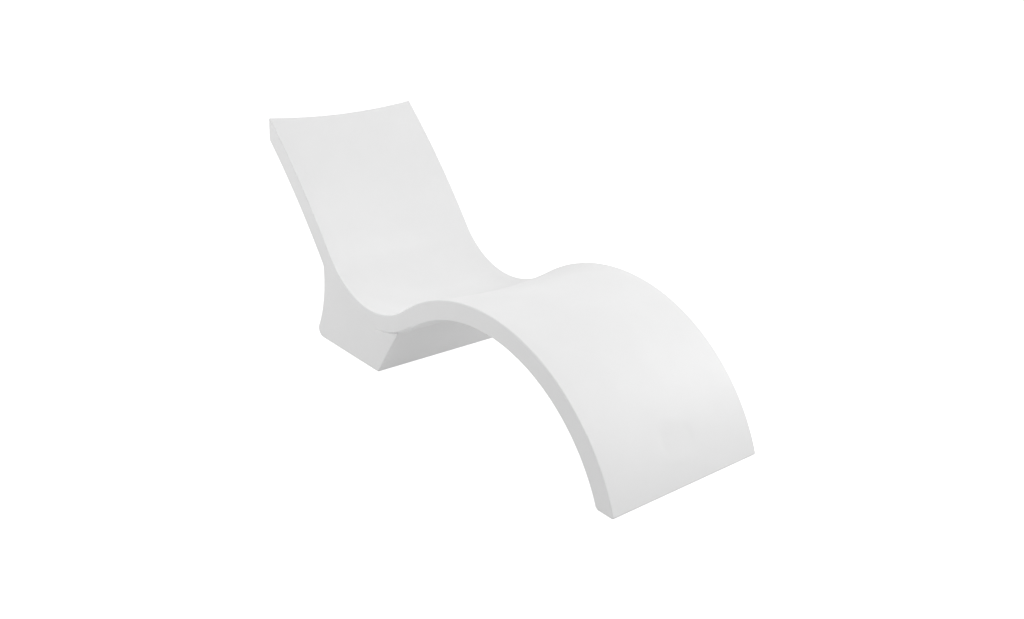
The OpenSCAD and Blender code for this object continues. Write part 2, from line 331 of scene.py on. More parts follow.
class Profile:
    """The three tangent arcs of the body's side view, and the lines of the pedestal under it.

    r and c hold the radius and the centre of each arc, t and half the body's thickness and half its width.
    The leg's arc ends at s1 and the seat's at s2.
    """

    def __init__(self, body, pedestal):
        self.body, self.pedestal = body, pedestal
        self.t = body.thickness
        self.half = body.width / 2
        self.r = {LEG: body.leg_radius, SEAT: body.seat_radius, BACK: body.back_radius}
        self.foot, self.head = -body.overall / 2, body.overall / 2
        quarter = math.pi / 2
        leg = np.array([self.foot, 0]) + self.r[LEG] * polar(body.foot_slope - quarter)
        seat = leg + (self.r[LEG] + self.r[SEAT]) * polar(quarter - body.thigh_slope)
        back = seat + (self.r[SEAT] + self.r[BACK]) * polar(body.back_slope - quarter)
        self.c = {LEG: leg, SEAT: seat, BACK: back}
        self.s1 = self.r[LEG] * (body.foot_slope + body.thigh_slope)
        self.s2 = self.s1 + self.r[SEAT] * (body.thigh_slope + body.back_slope)
        self.rear = np.array([seat[0] + pedestal.waist_behind + pedestal.rear_radius, pedestal.waist_height])
        self.sole = seat[0] - pedestal.sole_ahead
        self.side_start = self.sole + pedestal.side_start
        self.arch_y = self.sole - (seat[1] - self.r[SEAT] - self.t) * math.tan(pedestal.front_lean)

    def part_at(self, s):
        return np.where(np.asarray(s) <= self.s1, LEG, np.where(np.asarray(s) <= self.s2, SEAT, BACK))

    def point(self, s, h):
        """Place in (y, z) of s and h."""
        s, h = np.broadcast_arrays(np.asarray(s, float), np.asarray(h, float))
        part = self.part_at(s)
        b = self.body
        turn = math.pi / 2 + b.foot_slope - s / self.r[LEG]
        leg = self.c[LEG] + (self.r[LEG] + h)[..., None] * polar(turn)
        turn = -math.pi / 2 - b.thigh_slope + (s - self.s1) / self.r[SEAT]
        seat = self.c[SEAT] + (self.r[SEAT] - h)[..., None] * polar(turn)
        turn = math.pi / 2 + b.back_slope - (s - self.s2) / self.r[BACK]
        back = self.c[BACK] + (self.r[BACK] + h)[..., None] * polar(turn)
        return np.where((part == LEG)[..., None], leg, np.where((part == SEAT)[..., None], seat, back))

    def normal(self, s):
        """Unit vector out of the top at s, in (y, z)."""
        return self.point(s, 1.0) - self.point(s, 0.0)

    def unroll(self, p, part):
        """s and h of a place in (y, z) that belongs to this part of the body."""
        v = np.asarray(p, float) - self.c[part]
        far, turn = np.hypot(v[..., 0], v[..., 1]), np.arctan2(v[..., 1], v[..., 0])
        b = self.body
        if part == LEG:
            return self.r[LEG] * (math.pi / 2 + b.foot_slope - turn), far - self.r[LEG]
        if part == SEAT:
            return self.s1 + self.r[SEAT] * (turn + math.pi / 2 + b.thigh_slope), self.r[SEAT] - far
        return self.s2 + self.r[BACK] * (math.pi / 2 + b.back_slope - turn), far - self.r[BACK]

    def lay(self, p):
        """s and h of a place in (y, z), by the part that it lies in."""
        s, h = self.unroll(p, SEAT)
        leg, back = self.unroll(p, LEG), self.unroll(p, BACK)
        before, past = s < self.s1, s > self.s2
        return tuple(np.where(before, leg[k], np.where(past, back[k], (s, h)[k])) for k in (0, 1))

    def recess(self, p, h):
        """How far the side stands in from the full width, at a place in (y, z) that has this h.

        Behind the front face the pedestal's side turns in on a long radius. Up at the body it runs out over
        the body's lower edge rounding, and a crease follows that step.
        """
        edge, q = self.body.edge_under, self.pedestal
        turned = np.clip(self.side_start - p[..., 0], 0, None) ** 2 / (2 * q.side_radius)
        below = -(self.t - edge) - h
        d = np.clip(below, 0, edge)
        beyond = RUN_OUT * np.clip(below - edge, 0, None)
        rounded = edge - np.sqrt(np.clip(edge * edge - d * d, 0, None)) + beyond
        soft = np.minimum(q.soften, turned / 2) + TINY
        mix = np.clip(soft - np.abs(turned - rounded), 0, None) / soft
        crease = np.clip(1 - np.abs(2 * (h + self.t - q.crease_rise) / q.crease_width), 0, 1)
        fade = np.clip((self.side_start - p[..., 0]) / (self.side_start - self.arch_y), 0, 1)
        step = np.clip(np.minimum(turned, rounded) - mix * mix * soft / 4, 0, None)
        return step + q.crease * fade * smooth(crease)


# The outline is a closed run of stretches. A stretch has its points and outward normals in (y, z)


def spread(a, b, n, fine):
    """n + 1 values from a to b, evenly spaced but for a short first and last step."""
    fine = fine * np.sign(b - a)
    return np.concatenate([[a], np.linspace(a + fine, b - fine, n - 1), [b]])


def turns(steps, first=1):
    """Angles of a quarter turn in this many steps, from the first step on."""
    return [k * math.pi / (2 * steps) for k in range(first, steps + 1)]


class Stretch:
    """A run of the outline: points, outward normals, the part it belongs to, and its edge rounding."""

    def __init__(self, points, normals, part, edge):
        self.p = points
        self.n = np.broadcast_to(normals, points.shape)
        self.part = np.broadcast_to(part, len(points))
        self.edge = np.full(len(points), edge)


def rounding(c, r, a, b, n, part, edge, hollow=False):
    """A stretch along an arc round c from angle a to b. A hollow one has its normals towards c."""
    out = polar(np.linspace(a, b, n + 1))
    return Stretch(c + r * out, -out if hollow else out, part, edge)


def straight(a, b, n, normal, part, edge):
    """A stretch along the line from a to b, with a short first and last step."""
    w = spread(0, math.hypot(*(b - a)), n, FINE)
    return Stretch(a + w[:, None] * unit(b - a), normal, part, edge)


def outline(f):
    """All stretches, from the foot over the top to the head, back underneath and down the pedestal."""
    b, q, t = f.body, f.pedestal, f.t
    leg, seat, back = f.c[LEG], f.c[SEAT], f.c[BACK]
    under = {LEG: f.r[LEG] - t, SEAT: f.r[SEAT] + t, BACK: f.r[BACK] - t}
    down = -math.pi / 2

    def at_foot(z, radius):
        """The place at height z, ahead of the centre of the leg's arc and this far from it."""
        return np.array([leg[0] - math.sqrt(radius**2 - (z - leg[1]) ** 2), z])

    def at_head(y, radius):
        """The place at y, above the centre of the backrest's arc and this far from it."""
        return np.array([y, back[1] + math.sqrt(radius**2 - (y - back[0]) ** 2)])

    # Centres of the roundings
    c_front = at_foot(b.foot_front, f.r[LEG] - b.foot_front)
    c_back = at_foot(b.foot_back, under[LEG] + b.foot_back)
    c_top = at_head(f.head - b.head_top, f.r[BACK] - b.head_top)
    c_low = at_head(f.head - b.head_under, under[BACK] + b.head_under)
    heel_turn = math.asin((q.waist_height - q.heel) / (q.rear_radius + q.heel))
    c_heel = np.array([f.rear[0] - (q.rear_radius + q.heel) * math.cos(heel_turn), q.heel])
    c_join = crossing(seat, under[SEAT] + q.join, f.rear, q.rear_radius - q.join)
    lean = q.front_lean
    front_n = np.array([-math.cos(lean), -math.sin(lean)])
    front_t = np.array([-math.sin(lean), math.cos(lean)])
    c_toe = np.array([f.sole + q.toe * (1 - math.sin(lean)) / math.cos(lean), q.toe])
    base_of_arch = np.array([f.sole, 0]) + q.arch * front_n - seat
    along = base_of_arch @ front_t
    across = base_of_arch @ base_of_arch - along * along
    c_arch = seat + base_of_arch + front_t * (-along - math.sqrt((under[SEAT] + q.arch) ** 2 - across))

    # Places along the body where the stretches meet
    s_front = f.unroll(toward(leg, c_front, f.r[LEG]), LEG)[0]
    s_head = f.unroll(toward(back, c_top, f.r[BACK]), BACK)[0]
    s_foot_under = f.unroll(toward(leg, c_back, under[LEG]), LEG)[0]
    s_head_under = f.unroll(toward(back, c_low, under[BACK]), BACK)[0]
    s_join = f.unroll(c_join, SEAT)[0]
    s_arch = f.unroll(c_arch, SEAT)[0]
    s_leg = spread(s_arch, s_foot_under, round((s_arch - s_foot_under) / STEP), FINE)
    s_back = spread(s_head_under, s_join, round((s_head_under - s_join) / STEP), FINE)

    def underside(s):
        return Stretch(f.point(s, -t), -f.normal(s), f.part_at(s), b.edge_under)

    def on_floor(y_from, y_to, n, part):
        return straight(np.array([y_from, 0]), np.array([y_to, 0]), n, [0.0, -1.0], part, b.edge_base)

    def hollow(c, radius, turn_from, turn_to):
        return rounding(c, radius, turn_from, turn_to, CORNER, SEAT, b.edge_under, True)

    join_turn = angle_of(c_join - f.rear)
    join = hollow(c_join, q.join, angle_of(seat - c_join), join_turn)
    arch = hollow(c_arch, q.arch, angle_of(-front_n), angle_of(seat - c_arch))

    # The top is divided like the bottom boundary of the side, so that the side's rulings run straight through
    def inset_s(stretch, first, last):
        """s along the side's boundary, from a stretch's last place back to its first."""
        near = slice(first, last + 1)
        return f.lay(stretch.p[near] - stretch.n[near] * b.edge_under)[0][::-1]

    arch_s, join_s = inset_s(arch, CORNER // 2, CORNER), inset_s(join, 0, CORNER // 2)
    s_top = np.concatenate([
        np.interp(s_leg[::-1], [s_foot_under, s_arch], [s_front, s_arch])[:-1],
        arch_s[:-1],
        np.linspace(arch_s[-1], join_s[0], SEAM + 1)[:-1],
        join_s[:-1],
        np.interp(s_back[::-1], [s_join, s_head_under], [s_join, s_head]),
    ])
    rear_turn = spread(join_turn, math.pi + heel_turn, HOLLOW, FINE / q.rear_radius)
    front_foot, front_top = c_toe + q.toe * front_n, c_arch - q.arch * front_n
    head_high, head_low = np.array([f.head, c_top[1]]), np.array([f.head, c_low[1]])
    tip_turn = angle_of(c_front - leg) - 2 * math.pi
    base = b.edge_base
    return {
        "top": Stretch(f.point(s_top, 0), f.normal(s_top), f.part_at(s_top), b.edge),
        "head_top": rounding(c_top, b.head_top, angle_of(c_top - back), 0, BEND, BACK, TIGHT * b.head_top),
        "head_face": straight(head_high, head_low, FLAT, [1.0, 0.0], BACK, base),
        "head_under": rounding(c_low, b.head_under, 0, angle_of(back - c_low), TIP, BACK, base),
        "under_back": underside(s_back),
        "join": join,
        "rear": Stretch(f.rear + q.rear_radius * polar(rear_turn), -polar(rear_turn), BASE, base),
        "heel": rounding(c_heel, q.heel, heel_turn, down, 2 * HEEL, BASE, base),
        "sole": on_floor(c_heel[0], c_toe[0], SEAM - TOE - HEEL, BASE),
        "toe": rounding(c_toe, q.toe, down, angle_of(front_n), 2 * TOE, BASE, TIGHT * q.toe),
        "front": straight(front_foot, front_top, HEEL + HOLLOW - TOE, front_n, BASE, base),
        "arch": arch,
        "under_leg": underside(s_leg),
        "foot_back": rounding(c_back, b.foot_back, angle_of(leg - c_back), down, BEND, LEG, base),
        "foot_sole": on_floor(c_back[0], c_front[0], FLAT, LEG),
        "foot_front": rounding(c_front, b.foot_front, down, tip_turn, TIP, LEG, TIGHT * b.foot_front),
    }


def chain(f):
    """The outline as one closed run, with the numbers at which each stretch starts and stops."""
    runs = outline(f)
    start, stop, count = {}, {}, 0
    for name, stretch in runs.items():
        start[name] = count
        count += len(stretch.p) - 1
        stop[name] = count
    p, n, part, edge = (
        np.concatenate([getattr(stretch, key)[:-1] for stretch in runs.values()])
        for key in ("p", "n", "part", "edge")
    )
    # A tight corner's small rounding grows back to the full one over a short way
    gap = np.hypot(*(np.roll(p, -1, 0) - p).T)
    for _ in range(2):
        for i in range(count):
            edge[i] = min(edge[i], edge[i - 1] + GROWTH * gap[i - 1])
        for i in reversed(range(count)):
            edge[i] = min(edge[i], edge[(i + 1) % count] + GROWTH * gap[i])
    return {"p": p, "n": n, "part": part, "edge": edge, "start": start, "stop": stop, "count": count}


# Half of the shell's skin, then both halves as one mesh


class Skin:
    """Vertices and four-sided faces that patches add to. A vertex also has the part that bends it."""

    def __init__(self):
        self.v, self.part, self.faces = [], [], []

    def add(self, points, part):
        """Adds points, rows of (x, y, z), and returns their numbers in the shape that they came in."""
        start = len(self.v)
        flat = points.reshape(-1, 3)
        self.v.extend(flat)
        self.part.extend(np.broadcast_to(part, points.shape[:-1]).reshape(-1))
        return np.arange(start, start + len(flat)).reshape(points.shape[:-1])

    def grid(self, ids, flip=False, skip=None):
        """Faces between neighbours in a table of numbers. Flip turns them to its other side."""
        a, b, c, d = ids[:-1, :-1], ids[:-1, 1:], ids[1:, 1:], ids[1:, :-1]
        quads = np.stack([a, d, c, b] if flip else [a, b, c, d], -1)
        if skip is not None:
            quads = quads[~skip]
        self.faces.extend(quads.reshape(-1, 4))


def at_x(x, yz):
    """Places in space from x and rows of (y, z)."""
    x, yz = np.broadcast_arrays(np.asarray(x, float)[..., None], yz)
    return np.concatenate([x[..., :1], yz], -1)


def strip(skin, f, run):
    """The skin along all of the outline, from the centre plane to the side.

    Returns its numbers, the outline less its edge roundings, and the columns' shares of the half width.
    """
    p, n, e = run["p"], run["n"], run["edge"][:, None]
    inset = p - n * e
    seat_side = (run["part"] == SEAT) | (run["part"] == BASE)
    x_side = f.half - np.where(seat_side, f.recess(inset, f.unroll(inset, SEAT)[1]), 0)[:, None]
    share = np.append(np.linspace(0, 1 - FINE / f.half, ACROSS), 1.0)
    flat = at_x(share * (x_side - e), p[:, None])
    turn = np.array(turns(ROUND))
    round_x = x_side - e + e * np.sin(turn)
    round_p = p[:, None] - n[:, None] * (e * (1 - np.cos(turn)))[..., None]
    ids = skin.add(np.concatenate([flat, at_x(round_x, round_p)], 1), run["part"][:, None])
    return ids, inset, share


def coons(bottom, top, front, rear, u, v):
    """Blends four boundary runs into a table of places, (u, v) being the shares along them."""
    u, v = u[:, None, None], v[None, :, None]
    ruled = (1 - v) * bottom[:, None] + v * top[:, None]
    sides = (1 - u) * front[None] + u * rear[None]
    corners = (1 - v) * ((1 - u) * bottom[0] + u * bottom[-1]) + v * ((1 - u) * top[0] + u * top[-1])
    return ruled + sides - corners


def shares_along(*runs):
    """Mean share of the way along several runs that have as many points."""
    total = 0
    for p in runs:
        d = np.concatenate([[0], np.cumsum(np.hypot(*np.diff(p, axis=0).T))])
        total = total + d / d[-1]
    return total / len(runs)


def check_counts(what, *runs):
    """Raises an error unless these boundaries have as many points."""
    counts = [len(run) for run in runs]
    if len(set(counts)) > 1:
        raise RuntimeError(f"{what} have {counts} points, and need as many")


def side(skin, f, run, ids, inset):
    """The flat side: a strip along the body, and the pedestal's side under the seat."""
    start, stop, count = run["start"], run["stop"], run["count"]
    edge_ids = ids[:, -1]
    arch, join = start["arch"] + CORNER // 2, start["join"] + CORNER // 2
    toe, heel = start["toe"] + TOE, start["heel"] + HEEL

    def between(a, b):
        """Numbers on the outline from index a up to b, which may pass the end."""
        return [i % count for i in range(a, b + 1)]

    top = between(start["top"], stop["top"])
    head = between(start["head_top"], stop["head_under"])
    foot = between(start["foot_back"], stop["foot_front"])[::-1]
    low_leg = between(arch, stop["under_leg"])[::-1]
    low_back = between(start["under_back"], join)[::-1]

    # The seam runs under the seat, from the middle of the arch to the middle of the join
    ends = np.array([f.lay(inset[arch]), f.lay(inset[join])])
    seam_s, seam_h = np.linspace(*ends, SEAM + 1).T
    seam_p = f.point(seam_s, seam_h)
    seam_ids = skin.add(at_x(f.half - f.recess(seam_p, seam_h), seam_p)[1:-1], SEAT)
    low_ids = np.concatenate([edge_ids[low_leg], seam_ids, edge_ids[low_back]])
    low_p = np.concatenate([inset[low_leg], seam_p[1:-1], inset[low_back]])
    check_counts("the top and the lower edge of the body's side", top, low_ids)
    check_counts("the foot and the head end", foot, head)

    # Rows crowd towards the seam, where the edge of the body steps down to the pedestal's side
    station = np.arange(len(top))
    seam_start = len(low_leg) - 1
    far = np.maximum(0, np.maximum(seam_start - station, station - seam_start - SEAM))
    weight = smooth(np.clip(1 - far / CROWD_FADE, 0, 1))[:, None]
    even = np.linspace(0, 1, len(foot))
    v = (1 - weight) * even + weight * (1 - (1 - even) ** CROWDING)
    p = inset[top][:, None] + v[..., None] * (low_p - inset[top])[:, None]
    fade = np.clip(1 - station / END_FADE, 0, 1)[:, None, None] ** 2
    p += fade * (inset[foot] - p[0])
    p += fade[::-1] * (inset[head] - p[-1])
    inner = p[1:-1, 1:-1]
    part = run["part"][top][1:-1, None]
    x = f.half - np.where(part == SEAT, f.recess(inner, f.unroll(inner, SEAT)[1]), 0)
    table = np.zeros(p.shape[:2], int)
    table[1:-1, 1:-1] = skin.add(at_x(x, inner), part)
    table[:, 0], table[:, -1] = edge_ids[top], low_ids
    table[0], table[-1] = edge_ids[foot], edge_ids[head]
    skin.grid(table)

    # The pedestal's side is blended from its four boundaries
    bottom = between(heel, toe)[::-1]
    front = between(toe, arch)
    rear = between(join, heel)[::-1]
    check_counts("the sole and the seam over it", bottom, seam_p)
    check_counts("the pedestal's front and rear", front, rear)
    u = shares_along(inset[bottom], seam_p)
    w = shares_along(inset[front], inset[rear])
    p = coons(inset[bottom], seam_p, inset[front], inset[rear], u, w)
    inner = p[1:-1, 1:-1]
    x = f.half - f.recess(inner, f.unroll(inner, SEAT)[1])
    table = np.zeros(p.shape[:2], int)
    table[1:-1, 1:-1] = skin.add(at_x(x, inner), BASE)
    table[1:-1, 0], table[1:-1, -1] = edge_ids[bottom[1:-1]], seam_ids
    table[0], table[-1] = edge_ids[front], edge_ids[rear]
    skin.grid(table, flip=True)


def pocket(skin, f, run, ids, share, port, ports):
    """Opens the strip round a port and lines it down to the cup for the insert.

    A port is the name of its stretch, its centre there, and the centre and radius of the hollow arc.
    Returns the first and last row and the last column that are opened.
    """
    name, centre, c, r = port
    start, stop = run["start"][name], run["stop"][name]
    axis = unit(c - centre)
    # Travel along the outline, as seen from the port
    travel = np.array([-axis[1], axis[0]])
    if (run["p"][stop - 1] - run["p"][start]) @ travel < 0:
        travel = -travel

    def way_to(yz):
        """How far along the hollow arc a place lies from the port's centre."""
        return r * np.arctan2((yz - c) @ travel, -((yz - c) @ axis))

    reach = ports.pocket + ports.lip + POCKET_BORDER
    way = way_to(run["p"][start:stop])
    i0, i1 = (start + int(np.argmin(np.abs(way - goal))) for goal in (-reach, reach))
    j1 = int(np.argmin(np.abs(share * f.half - reach)))
    part = run["part"][i0]
    rim_ids = np.concatenate([ids[i0, : j1 + 1], ids[i0 + 1 : i1, j1], ids[i1, j1::-1]])
    rim = np.array([skin.v[k] for k in rim_ids])
    rim_x, rim_way = rim[:, 0], way_to(rim[:, 1:])
    even = np.linspace(-math.pi / 2, math.pi / 2, len(rim))
    phi = (np.arctan2(rim_way, rim_x) + even) / 2

    def add(x, yz):
        x[0] = x[-1] = 0
        return skin.add(at_x(x, yz), part)

    def ring(radius, lift=0.0, flat=False):
        """A ring round the port's axis, lifted off the surface, or off the tangent plane if flat."""
        sideways = radius * np.sin(phi)
        high = lift + (0 * phi if flat else r - np.sqrt(r * r - sideways * sideways))
        return add(radius * np.cos(phi), centre + sideways[:, None] * travel + high[:, None] * axis)

    rings = [rim_ids]
    mouth = ports.pocket + ports.lip
    mouth_way = r * np.arcsin(mouth * np.sin(phi) / r)
    for w in np.linspace(0, 1, POCKET_RINGS + 1)[1:-1]:
        turn = (rim_way + w * (mouth_way - rim_way)) / r
        yz = c + r * (np.sin(turn)[:, None] * travel - np.cos(turn)[:, None] * axis)
        rings.append(add(rim_x + w * (mouth * np.cos(phi) - rim_x), yz))
    rings.append(ring(mouth))
    for a in turns(LIP_STEPS):
        rings.append(ring(mouth - ports.lip * math.sin(a), -ports.lip * (1 - math.cos(a))))
    floor, bend = -ports.depth, FLOOR_ROUND
    for a in turns(FLOOR_STEPS, 0):
        rings.append(ring(ports.pocket - bend * (1 - math.cos(a)), floor + bend * (1 - math.sin(a)), True))
    for radius, lift in (
        (ports.flange + RECESS_ROUND, floor),
        (ports.flange, floor - RECESS_ROUND),
        (ports.flange, floor - ports.cup + CUP_ROUND),
        (ports.flange - CUP_ROUND, floor - ports.cup),
        (CUP_MIDDLE, floor - ports.cup),
    ):
        rings.append(ring(radius, lift, True))
    skin.grid(np.array(rings))
    middle = int(skin.add(at_x(0.0, centre + (floor - ports.cup) * axis), part))
    last = rings[-1]
    for near, far in zip(last[:-1], last[1:]):
        skin.faces.append([far, far, middle, near])
    return i0, i1, j1


def shell_blank(f, ports, places):
    """The whole skin in place as a closed mesh, with the part of each vertex in a layer named part."""
    run = chain(f)
    skin = Skin()
    ids, inset, share = strip(skin, f, run)
    opened = np.zeros((run["count"], ids.shape[1] - 1), bool)
    for port in places:
        i0, i1, j1 = pocket(skin, f, run, ids, share, port, ports)
        opened[i0:i1, :j1] = True
    skin.grid(np.concatenate([ids, ids[:1]]), skip=opened)
    side(skin, f, run, ids, inset)

    # The other half is this one mirrored, with its faces turned over
    v, faces = np.array(skin.v), np.array(skin.faces)
    bm = bmesh.new()
    layer = bm.verts.layers.int.new("part")
    made = []
    for co, part in zip(np.concatenate([v, v * [-1, 1, 1]]), skin.part + skin.part):
        vert = bm.verts.new(co)
        vert[layer] = int(part)
        made.append(vert)
    for quad in np.concatenate([faces, faces[:, ::-1] + len(v)]):
        bm.faces.new([made[k] for k in dict.fromkeys(quad.tolist())])
    bmesh.ops.remove_doubles(bm, verts=bm.verts, dist=MERGE)
    loose = [vert for vert in bm.verts if not vert.link_faces]
    bmesh.ops.delete(bm, geom=loose, context="VERTS")
    faults = [edge for edge in bm.edges if not edge.is_contiguous]
    if faults:
        spots = [tuple(round(c, 4) for c in edge.verts[0].co) for edge in faults[:6]]
        raise RuntimeError(f"the shell's skin is open or turned over at {len(faults)} edges, as at {spots}")
    return bm


# Geometry Nodes: a small way to write a rule as sums


class Rule:
    """A Geometry Nodes tree in the making, with named inputs."""

    def __init__(self, name):
        self.tree = bpy.data.node_groups.new(name, "GeometryNodeTree")
        self.tree.interface.new_socket("Geometry", in_out="INPUT", socket_type="NodeSocketGeometry")
        self.tree.interface.new_socket("Geometry", in_out="OUTPUT", socket_type="NodeSocketGeometry")
        self.start = self.tree.nodes.new("NodeGroupInput")
        self.end = self.tree.nodes.new("NodeGroupOutput")
        self.values = {}

    def size(self, name, value, kind="NodeSocketFloat"):
        """A named input and the value that it gets."""
        socket = self.tree.interface.new_socket(name, in_out="INPUT", socket_type=kind)
        self.values[socket.identifier] = value
        return Wire(self, self.start.outputs[name])

    def node(self, kind, *links, **settings):
        """A new node with its settings, and with links or values in its inputs' order."""
        made = self.tree.nodes.new(kind)
        for key, value in settings.items():
            setattr(made, key, value)
        for socket, link in zip(made.inputs, links):
            self.join(link, socket)
        return made

    def join(self, link, socket):
        """Links a wire or a socket to this socket, or sets its value."""
        if isinstance(link, Wire):
            link = link.socket
        if isinstance(link, bpy.types.NodeSocket):
            self.tree.links.new(link, socket)
        else:
            socket.default_value = link

    def math(self, operation, *links):
        return Wire(self, self.node("ShaderNodeMath", *links, operation=operation).outputs[0])

    def finish(self, geometry, material):
        """Ends the tree in real, painted geometry."""
        real = self.node("GeometryNodeRealizeInstances", geometry)
        painted = self.node("GeometryNodeSetMaterial", real.outputs[0])
        painted.inputs["Material"].default_value = material
        self.tree.links.new(painted.outputs[0], self.end.inputs[0])

    def apply(self, obj):
        """Runs the tree on the object and leaves the result as its plain mesh."""
        modifier = obj.modifiers.new(self.tree.name, "NODES")
        modifier.node_group = self.tree
        for identifier, value in self.values.items():
            modifier[identifier] = value
        bpy.context.view_layer.update()
        made = bpy.data.meshes.new_from_object(obj.evaluated_get(bpy.context.evaluated_depsgraph_get()))
        obj.modifiers.remove(modifier)
        old = obj.data
        obj.data = made
        made.name = obj.name
        bpy.data.meshes.remove(old)
        return obj


class Wire:
    """A socket that can stand in a sum."""

    def __init__(self, rule, socket):
        self.rule, self.socket = rule, socket

    def __add__(self, other):
        return self.rule.math("ADD", self, other)

    def __radd__(self, other):
        return self.rule.math("ADD", other, self)

    def __sub__(self, other):
        return self.rule.math("SUBTRACT", self, other)

    def __rsub__(self, other):
        return self.rule.math("SUBTRACT", other, self)

    def __mul__(self, other):
        return self.rule.math("MULTIPLY", self, other)

    def __rmul__(self, other):
        return self.rule.math("MULTIPLY", other, self)

    def __truediv__(self, other):
        return self.rule.math("DIVIDE", self, other)


def bending_rule(f, material):
    """Bends a flat blank along the three arcs, dishes it from the thigh up and adds the round flat."""
    b = f.body
    rule = Rule("Bend along the side profile")
    leg_r, seat_r, back_r = (rule.size(n, v) for n, v in (
        ("Leg radius", b.leg_radius), ("Seat radius", b.seat_radius), ("Back radius", b.back_radius)))
    foot, thigh, back = (rule.size(n, v) for n, v in (
        ("Foot slope", b.foot_slope), ("Thigh slope", b.thigh_slope), ("Back slope", b.back_slope)))
    foot_y, head_y = rule.size("Foot end", f.foot), rule.size("Head end", f.head)
    thick, half = rule.size("Thickness", f.t), rule.size("Half width", f.half)
    seat_sag, head_sag = rule.size("Seat sag", b.seat_sag), rule.size("Head sag", b.head_sag)
    dish_start, dish_full = rule.size("Dish start", b.dish_start), rule.size("Dish full", b.dish_full)
    flat_r, flat_at, sink = (rule.size(n, v) for n, v in (
        ("Flat radius", b.flat_radius), ("Flat slope", b.flat_slope), ("Flat sink", b.flat_sink)))

    def sin(w):
        return rule.math("SINE", w)

    def cos(w):
        return rule.math("COSINE", w)

    def fade(value, low, high, to_low, to_high):
        """A value eased from one to another while the first one goes from low to high."""
        ends = value, low, high, to_low, to_high
        return Wire(rule, rule.node("ShaderNodeMapRange", *ends, interpolation_type="SMOOTHSTEP").outputs[0])

    quarter = math.pi / 2
    place = rule.node("ShaderNodeSeparateXYZ", rule.node("GeometryNodeInputPosition").outputs[0])
    x, s, h = (Wire(rule, o) for o in place.outputs)
    leg_y, leg_z = foot_y + leg_r * sin(foot), 0 - leg_r * cos(foot)
    seat_y, seat_z = leg_y + (leg_r + seat_r) * sin(thigh), leg_z + (leg_r + seat_r) * cos(thigh)
    back_y, back_z = seat_y + (seat_r + back_r) * sin(back), seat_z - (seat_r + back_r) * cos(back)
    s1 = leg_r * (foot + thigh)
    s2 = s1 + seat_r * (thigh + back)
    s3 = s2 + back_r * (back + quarter - rule.math("ARCCOSINE", (head_y - back_y) / back_r))

    # The round flat: a plane set just below the crown, faded into the curve round it
    off = s - leg_r * (foot - flat_at)
    away = rule.math("SQRT", x * x + off * off)
    press = (off * off / (leg_r * 2) - sink) * fade(away, flat_r * FLAT_INNER, flat_r * FLAT_OUTER, 1.0, 0.0)
    top_side = rule.math("GREATER_THAN", h, thick * -0.5)
    h = h + press * top_side

    # Place on each arc, and how far the top's normal points up there
    arcs = []
    for cy, cz, radius, turn, out in (
        (leg_y, leg_z, leg_r + h, quarter + foot - s / leg_r, 1),
        (seat_y, seat_z, seat_r - h, (s - s1) / seat_r - thigh - quarter, -1),
        (back_y, back_z, back_r + h, quarter + back - (s - s2) / back_r, 1),
    ):
        arcs.append((cy + radius * cos(turn), cz + radius * sin(turn), out * sin(turn)))
    past1, past2 = rule.math("GREATER_THAN", s, s1), rule.math("GREATER_THAN", s, s2)
    y, z, up = (a + (b - a) * past1 + (c - b) * past2 for a, b, c in zip(*arcs))

    # The dish starts on the knee, grows shallower up the backrest, and is gone at the edges and underneath
    across = x / half
    depth = fade(s, dish_start, dish_full, 0.0, seat_sag) + fade(s, s2, s3, 0.0, head_sag - seat_sag)
    reach = rule.math("MINIMUM", rule.math("MAXIMUM", (h + thick) / (thick * DISH_REACH), 0.0), 1.0)
    z = z - depth * (1 - across * across) * reach / up

    bent = rule.node("ShaderNodeCombineXYZ", x, y, z)
    bends = rule.node("GeometryNodeInputNamedAttribute", "bends", data_type="BOOLEAN")
    moved = rule.node("GeometryNodeSetPosition")
    rule.tree.links.new(rule.start.outputs[0], moved.inputs["Geometry"])
    rule.tree.links.new(bends.outputs[0], moved.inputs["Selection"])
    rule.tree.links.new(bent.outputs[0], moved.inputs["Position"])
    rule.finish(moved.outputs[0], material)
    return rule


# Materials: all patterns read Object coordinates


